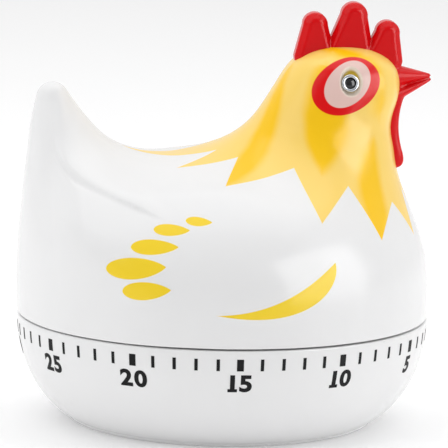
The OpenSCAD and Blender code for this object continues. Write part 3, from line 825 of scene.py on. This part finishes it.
def beak_half_field(p, root_z, tip_z, root_half_h, root_half_w, tip_x):
    """A blunt elliptic cone from the beak's root to its tip."""
    t = np.clip((p[:, 0] - beak_root_x) / (tip_x - beak_root_x), -0.5, 1)
    mid_z = root_z + (tip_z - root_z) * t
    shrink = np.maximum(1 - t, 0)
    half_h = beak_tip_half + (root_half_h - beak_tip_half) * shrink**0.95
    half_w = beak_tip_half + (root_half_w - beak_tip_half) * shrink**0.7
    across = np.sqrt((p[:, 1] / half_w) ** 2 + ((p[:, 2] - mid_z) / half_h) ** 2) - 1
    beyond = np.maximum(p[:, 0] - tip_x, 0)
    return np.maximum(across * np.minimum(half_h, half_w) + beyond, beak_back_x - p[:, 0])


def wattle_side(side):
    """The wattle's front edge is a shallow curve, nearest to the neck at its waist."""
    x, z = side[:, 0], side[:, 1]
    front = wattle_waist[0] + wattle_curve * (np.minimum(z, wattle_straight_z) - wattle_waist[1]) ** 2
    upright = soft_max(x - front, wattle_low_z - z, wattle_round * 2)
    return np.maximum(np.maximum(upright, z - wattle_high_z), wattle_back_x - x)


def moulding_field(p):
    side = p[:, [0, 2]]
    comb = rod_2d(side, *comb_lobes[0])
    for lobe in comb_lobes[1:]:
        comb = soft_min(comb, rod_2d(side, *lobe), lobe_join)
    foot = np.abs(side - comb_foot_at) - comb_foot_half
    comb = soft_min(comb, foot.max(1), lobe_join)
    comb = slab(comb, p[:, 1], comb_t / 2, comb_bevel)
    wattle = slab(wattle_side(side), p[:, 1], comb_t / 2 - wattle_inset, wattle_bevel)
    upper, lower = (beak_half_field(p, *half) for half in beak_halves)
    beak = soft_min(upper, lower, mouth_join)
    return soft_min(soft_min(comb, wattle, part_join), beak, part_join)


def make_moulding(material):
    low = (comb_low[0] - 1, comb_low[1] - 0.6, comb_low[2] - hen_z - 1)
    high = (comb_high[0] + 1, comb_high[1] + 0.6, comb_high[2] - hen_z + 1)
    points, faces = skin_of(moulding_field, low, high, 0.24)
    piece = add_piece("comb_moulding", points + [0, 0, hen_z], faces, "hen", material)
    keep_place(piece)
    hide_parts("comb_beak_and_wattle")
    return piece


# ---------- Eyes ----------


def eye_matrix(side):
    """Takes +Z out of the head at one eye."""
    turn = Matrix.Rotation(side * (math.pi / 2 - eye_turn), 4, "Z")
    lift = Matrix.Rotation(math.pi / 2 - eye_lift, 4, "Y")
    x, y, z = eye_at
    return Matrix.Translation((x, side * y, z + hen_z)) @ turn @ lift


def both_eyes(points, faces):
    all_points, all_faces = [], []
    for side in (-1, 1):
        place = eye_matrix(side)
        offset = len(all_points)
        all_points += [tuple(place @ Vector(p)) for p in points]
        all_faces += [[i + offset for i in f] for f in faces]
    return all_points, all_faces


def make_eyes(bezel_material, bead_material):
    """A bright turned rim and a domed black bead in each eye."""
    depth, seat_depth = 1.4, 0.5
    lip = (eye_rim_r - eye_pupil_r) / 2
    mid_r = (eye_rim_r + eye_pupil_r) / 2
    bezel = [(0, -depth), (eye_rim_r, -depth)]
    bezel += arc(mid_r, eye_proud - lip, lip, 0, 180, 10)
    bezel += [(eye_pupil_r, -seat_depth), (0, -seat_depth)]
    points, faces = both_eyes(*lathe(bezel, 48))
    rims = add_piece("eye_bezels", points, faces, "hen", bezel_material)
    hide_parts("eye_rims")
    bead_r, bead_low, dome_low, dome_rise = eye_pupil_r - 0.03, -0.9, -0.15, 0.35
    bead = [(0, bead_low), (bead_r, bead_low), (bead_r, dome_low)]
    for turn in np.linspace(0.1, 1, 8) * math.pi / 2:
        bead.append((bead_r * math.cos(turn), dome_low + dome_rise * math.sin(turn)))
    bead[-1] = (0, bead[-1][1])
    points, faces = both_eyes(*lathe(bead, 48))
    beads = add_piece("eye_beads", points, faces, "hen", bead_material)
    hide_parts("eye_pupils")


# ---------- Base ----------

base_h = hen_z - rim_gap / 2
base_sq, base_core_r, base_drop = 2, 21.6, base_h + 0.7
floor_t = 2.0
base_top = base_h - rim_gap / 2
collar_r, collar_t = rim_r - wall_t - 0.6, 1.6
screw_orbit, screw_az = 22.5, (90, 210, 330)
boss_top_z = 8.0


def base_radius(z):
    return base_core_r + (rim_r - base_core_r) * (1 - ((base_h - z) / base_drop) ** base_sq) ** (1 / base_sq)


def joined(target, cutter, operation):
    """Applies one boolean and removes the cutter."""
    change = target.modifiers.new("join", "BOOLEAN")
    change.operation, change.object, change.solver = operation, cutter, "EXACT"
    graph = bpy.context.evaluated_depsgraph_get()
    made = bpy.data.meshes.new_from_object(target.evaluated_get(graph))
    target.modifiers.clear()
    old = target.data
    target.data = made
    bpy.data.meshes.remove(old)
    bpy.data.objects.remove(cutter)


def posts(name, radius, low, high):
    """Three upright cylinders at the base's screws."""
    bm = bmesh.new()
    for az in screw_az:
        x, y = screw_orbit * math.cos(math.radians(az)), screw_orbit * math.sin(math.radians(az))
        bmesh.ops.create_cone(
            bm, cap_ends=True, segments=48, radius1=radius * MM, radius2=radius * MM,
            depth=(high - low) * MM, matrix=Matrix.Translation((x * MM, y * MM, (low + high) / 2 * MM)),
        )
    mesh = bpy.data.meshes.new(name)
    bm.to_mesh(mesh)
    bm.free()
    made = bpy.data.objects.new(name, mesh)
    bpy.context.scene.collection.objects.link(made)
    return made


def make_base(material):
    """Cup with a rounded foot and rim, a collar that centres the hen, and three screw bosses."""
    foot_round, rim_round = 0.6, 0.25
    foot_r = base_radius(foot_round) - foot_round
    profile = [(0, 0), (foot_r - 6, 0)]
    profile += arc(foot_r, foot_round, foot_round, -90, -25, 6)
    profile += [(base_radius(z), z) for z in np.linspace(foot_round, base_top - rim_round, 56)]
    profile += arc(rim_r - rim_round, base_top - rim_round, rim_round, 15, 90, 5)
    profile += [(collar_r, base_top), (collar_r, base_high[2] - 0.2), (collar_r - 0.2, base_high[2])]
    profile += [(collar_r - collar_t, base_high[2]), (collar_r - collar_t, base_top - wall_t)]
    profile += [(base_radius(z) - wall_t, z) for z in np.linspace(base_top - wall_t, floor_t + 1, 24)[1:]]
    profile += [(base_radius(floor_t + 1) - wall_t - 1, floor_t), (0, floor_t)]
    points, faces = lathe(profile, 240)
    piece = add_piece("base_cup", points, faces, "base", material)
    joined(piece, posts("bosses", 3, floor_t - 0.5, boss_top_z), "UNION")
    joined(piece, posts("shanks", 1.25, -1, boss_top_z + 1), "DIFFERENCE")
    joined(piece, posts("seats", 2.4, -1, 2), "DIFFERENCE")
    keep_place(piece)
    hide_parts("base_shell")
    piece.data.set_sharp_from_angle(angle=math.radians(40))
    return piece


# Printed scale: 60 marks, clockwise from above, zero under the beak
tick_low, tick_high = 15.0, 17.05
thin_tick_w, thick_tick_w = 0.58, 1.18
numeral_low, numeral_h = 11.25, 3.05
glyph_weight, glyph_widen, digit_gap = 0.038, 1.18, 0.36
foot_h, foot_reach = 0.55, 0.42
ink_t = 0.04
minutes, long_step = 60, 5


def on_base(along, z, lift):
    """A place on the base's wall: distance round from +X at the rim's radius, height, lift."""
    radius = base_radius(z) + lift
    turn = along / rim_r
    return (radius * math.cos(turn), radius * math.sin(turn), z)


def printed(name, flat, body, lifted, material):
    """Flat meshes of ink wrapped onto a surface as thin closed films."""
    bm = bmesh.new()
    for points, faces in flat:
        top = [bm.verts.new(lifted(u, v, ink_t)) for u, v in points]
        under = [bm.verts.new(lifted(u, v, -ink_t)) for u, v in points]
        edges = {}
        for face in faces:
            bm.faces.new([top[i] for i in face])
            bm.faces.new([under[i] for i in reversed(face)])
            for i, j in zip(face, list(face[1:]) + [face[0]]):
                edges[(i, j)] = True
        for i, j in edges:
            if (j, i) not in edges:
                bm.faces.new([top[j], top[i], under[i], under[j]])
    mesh = bpy.data.meshes.new(name)
    bmesh.ops.scale(bm, verts=bm.verts[:], vec=(MM, MM, MM))
    bmesh.ops.recalc_face_normals(bm, faces=bm.faces[:])
    bm.to_mesh(mesh)
    bm.free()
    mesh.materials.append(material)
    piece = bpy.data.objects.new(name, mesh)
    bpy.context.scene.collection.objects.link(piece)
    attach(piece, body)
    return piece


def bar(mid, width, low, high):
    """A flat bar of ink as a grid fine enough to bend."""
    columns, rows = 5, 7
    points = [
        (mid + width * (i / (columns - 1) - 0.5), low + (high - low) * j / (rows - 1))
        for j in range(rows) for i in range(columns)
    ]
    faces = []
    for j in range(rows - 1):
        for i in range(columns - 1):
            a = j * columns + i
            faces.append([a, a + 1, a + columns + 1, a + columns])
    return points, faces


def glyph(character):
    """One digit as bmesh, as high as a numeral, its lower left corner at the origin."""
    text = bpy.data.curves.new("digit", "FONT")
    text.body = character
    text.offset = glyph_weight
    holder = bpy.data.objects.new("digit", text)
    bpy.context.scene.collection.objects.link(holder)
    mesh = bpy.data.meshes.new_from_object(holder)
    bpy.data.objects.remove(holder)
    bpy.data.curves.remove(text)
    bm = bmesh.new()
    bm.from_mesh(mesh)
    bpy.data.meshes.remove(mesh)
    bmesh.ops.remove_doubles(bm, verts=bm.verts[:], dist=1e-5)
    low = [min(v.co[axis] for v in bm.verts) for axis in (0, 1)]
    scale = numeral_h / (max(v.co.y for v in bm.verts) - low[1])
    for v in bm.verts:
        v.co = ((v.co.x - low[0]) * scale * glyph_widen, (v.co.y - low[1]) * scale, 0)
    if sum(f.normal.z * f.calc_area() for f in bm.faces) < 0:
        bmesh.ops.reverse_faces(bm, faces=bm.faces[:])
    return bm


def slice_flat(bm, axis, places):
    """Cuts a flat mesh along lines across one axis."""
    across = [0, 0, 0]
    across[axis] = 1
    for cut in places:
        bmesh.ops.bisect_plane(
            bm, geom=bm.verts[:] + bm.edges[:] + bm.faces[:],
            plane_co=[cut * a for a in across], plane_no=across,
        )


def add_foot(bm):
    """The bar under a 1, joined to its stem at both sides."""
    slice_flat(bm, 1, [foot_h])
    for way in (-1, 1):
        stem = [v for v in bm.verts if v.co.y < foot_h + 1e-4]
        edge_x = max(way * v.co.x for v in stem)
        side = sorted((v for v in stem if way * v.co.x > edge_x - 1e-3), key=lambda v: v.co.y)
        near_low, near_high = side[0], side[-1]
        far_low = bm.verts.new((near_low.co.x + way * foot_reach, 0, 0))
        far_high = bm.verts.new((near_high.co.x + way * foot_reach, foot_h, 0))
        quad = [near_low, far_low, far_high, near_high]
        bm.faces.new(quad if way > 0 else quad[::-1])


def numeral(value, mid):
    """A number as a flat mesh, cut fine enough to bend, centred on mid."""
    row, pen = bmesh.new(), 0.0
    for character in str(value):
        bm = glyph(character)
        if character == "1":
            add_foot(bm)
        start = min(v.co.x for v in bm.verts)
        bmesh.ops.translate(bm, verts=bm.verts[:], vec=(pen - start, 0, 0))
        pen = max(v.co.x for v in bm.verts) + digit_gap
        spare = bpy.data.meshes.new("digit")
        bm.to_mesh(spare)
        bm.free()
        row.from_mesh(spare)
        bpy.data.meshes.remove(spare)
    width = pen - digit_gap
    slice_flat(row, 0, np.arange(0.2, width, 0.4))
    slice_flat(row, 1, np.arange(0.3, numeral_h, 0.4))
    row.verts.index_update()
    points = [(mid + v.co.x - width / 2, numeral_low + v.co.y) for v in row.verts]
    faces = [[v.index for v in f.verts] for f in row.faces]
    row.free()
    return points, faces


def make_scale(material):
    bars, numbers = [], []
    for minute in range(minutes):
        mid = -minute * 2 * math.pi / minutes * rim_r
        thick = minute % long_step == 0
        bars.append(bar(mid, thick_tick_w if thick else thin_tick_w, tick_low, tick_high))
        if thick:
            numbers.append(numeral(minute, mid))
    printed("minute_ticks", bars, "base", on_base, material)
    printed("minute_numerals", numbers, "base", on_base, material)


def on_hen(along, z, lift):
    """A place on the hen's upright belt."""
    radius = hen_r + lift
    return (radius * math.cos(along / rim_r), radius * math.sin(along / rim_r), z + hen_z)


def make_index(material):
    """Printed pointer on the hen's breast, at the rim."""
    low, high, half_w, rows = 0.5, 2.3, 1.0, 6
    points, faces = [], []
    for j in range(rows):
        share = j / (rows - 1)
        for i in (-1, 0, 1):
            points.append((i * half_w * max(share, 0.04), low + (high - low) * share))
    for j in range(rows - 1):
        for i in (0, 1):
            a = 3 * j + i
            faces.append([a, a + 1, a + 4, a + 3])
    printed("index_mark", [(points, faces)], "hen", on_hen, material)


# ---------- Stage ----------


def make_stage():
    paint = Paint("pale_floor", (0.93, 0.93, 0.93), 0.6)
    paint.shader.inputs["Emission Color"].default_value = (1, 1, 1, 1)
    paint.shader.inputs["Emission Strength"].default_value = 0.1
    vector = paint.object_place((0.01, 0.01, 0.01))
    grain = paint.noise(vector, 3, 2)
    paint.link(paint.mix(grain, (0.93, 0.93, 0.93), (0.92, 0.92, 0.925)), paint.shader.inputs["Base Color"])
    bm = bmesh.new()
    bmesh.ops.create_grid(bm, x_segments=8, y_segments=8, size=6)
    mesh = bpy.data.meshes.new("floor")
    bm.to_mesh(mesh)
    bm.free()
    mesh.materials.append(paint.material)
    floor = bpy.data.objects.new("floor", mesh)
    bpy.context.scene.collection.objects.link(floor)

    world = bpy.data.worlds.new("studio")
    world.use_nodes = True
    tree = world.node_tree
    background = tree.nodes["Background"]
    background.inputs["Color"].default_value = (1, 1, 1, 1)
    toward = tree.nodes.new("ShaderNodeSeparateXYZ")
    tree.links.new(tree.nodes.new("ShaderNodeTexCoord").outputs["Generated"], toward.inputs[0])
    span = tree.nodes.new("ShaderNodeMapRange")
    tree.links.new(toward.outputs["Y"], span.inputs["Value"])
    for slot, value in (("From Min", -1), ("From Max", 0.2), ("To Min", 0.33), ("To Max", 0.79)):
        span.inputs[slot].default_value = value
    tree.links.new(span.outputs["Result"], background.inputs["Strength"])
    bpy.context.scene.world = world

    aim = Vector((0, 0, 0.035))
    for name, place, size, power, gleam_only in (
        ("left_box", (-0.55, -0.25, 0.45), (0.5, 0.6), 1.0, False),
        ("right_box", (0.6, -0.15, 0.40), (0.4, 0.6), 0.8, False),
        ("top_box", (0.0, 0.1, 0.75), (0.9, 0.6), 2.1, False),
        ("front_card", (0.50, -0.34, 0.22), (0.6, 0.6), 6.0, True),
    ):
        light = bpy.data.lights.new(name, "AREA")
        light.shape = "RECTANGLE"
        light.size, light.size_y = size
        light.energy = power
        holder = bpy.data.objects.new(name, light)
        holder.location = place
        holder.visible_diffuse = not gleam_only
        holder.rotation_mode = "QUATERNION"
        holder.rotation_quaternion = (aim - Vector(place)).to_track_quat("-Z", "Y")
        bpy.context.scene.collection.objects.link(holder)


def make_camera():
    """A long lens a little above the rim, from the hen's right side."""
    distance, elevation, azimuth, roll = 829, math.radians(10.51), math.radians(-5.30), math.radians(1.21)
    aim_up, aim_right = 15.4, 0.03
    target = Vector((0, 0, base_h))
    right = Vector((math.cos(azimuth), math.sin(azimuth), 0))
    back = Vector((
        math.sin(azimuth) * math.cos(elevation),
        -math.cos(azimuth) * math.cos(elevation),
        math.sin(elevation),
    ))
    up = back.cross(right)
    place = target + back * distance
    aim = target + up * aim_up + right * aim_right
    back = (place - aim).normalized()
    right = Vector((0, 0, 1)).cross(back).normalized()
    up = back.cross(right)
    rolled_right = right * math.cos(roll) + up * math.sin(roll)
    rolled_up = up * math.cos(roll) - right * math.sin(roll)
    data = bpy.data.cameras.new("camera")
    data.lens, data.sensor_width = 378.7, 36
    data.clip_start, data.clip_end = 0.05, 30
    camera = bpy.data.objects.new("camera", data)
    matrix = Matrix((rolled_right, rolled_up, back)).transposed().to_4x4()
    matrix.translation = place * MM
    camera.matrix_world = matrix
    bpy.context.scene.collection.objects.link(camera)
    bpy.context.scene.camera = camera


# ---------- Materials of the movement ----------

worked = {
    "steel": metal("steel", (0.60, 0.61, 0.63), (0.50, 0.51, 0.53), 0.30, (1, 1, 9)),
    "dark_steel": metal("dark_steel", (0.20, 0.20, 0.21), (0.13, 0.12, 0.12), 0.38, (3, 3, 3)),
    "spring_steel": metal("spring_steel", (0.26, 0.28, 0.34), (0.18, 0.19, 0.26), 0.26, (1, 1, 12)),
    "bell_steel": metal("bell_steel", (0.72, 0.73, 0.75), (0.64, 0.65, 0.66), 0.14, (2, 2, 14)),
    "brass": metal("brass", (0.72, 0.50, 0.19), (0.60, 0.39, 0.13), 0.28, (6, 6, 1)),
}
white_plastic = moulded("white_plastic", white, white_shade, 0.2, coat=0.03, specular=0.25).material
red_plastic = moulded("red_plastic", red, red_shade, 0.18, coat=0, specular=0.17).material
nylon = moulded("cream_nylon", (0.80, 0.77, 0.66), (0.76, 0.72, 0.60), 0.42, False).material
silver = metal("eye_silver", (0.54, 0.56, 0.59), (0.42, 0.44, 0.48), 0.12, (1, 1, 4), 6, 0.01)
bead_black = moulded("bead_black", (0.006, 0.006, 0.007), (0.02, 0.02, 0.024), 0.06, False).material
ink_paint = moulded(
    "scale_ink", (0.006, 0.006, 0.007), (0.012, 0.012, 0.013), 0.5, False, coat=0, specular=0.15,
).material

for part in frame["record"]["subparts"]:
    finish_name = part["material_slot"]
    chosen = worked.get(finish_name, nylon if finish_name == "cream_nylon" else None)
    if chosen:
        mesh = frame["nodes"][part["node"]].data
        mesh.materials.clear()
        mesh.materials.append(chosen)

make_camera()
make_stage()
make_hen_shell(make_hen_paint())
make_moulding(red_plastic)
make_eyes(silver, bead_black)
make_base(white_plastic)
make_scale(ink_paint)
make_index(ink_paint)

bpy.context.scene.view_settings.view_transform = "Standard"
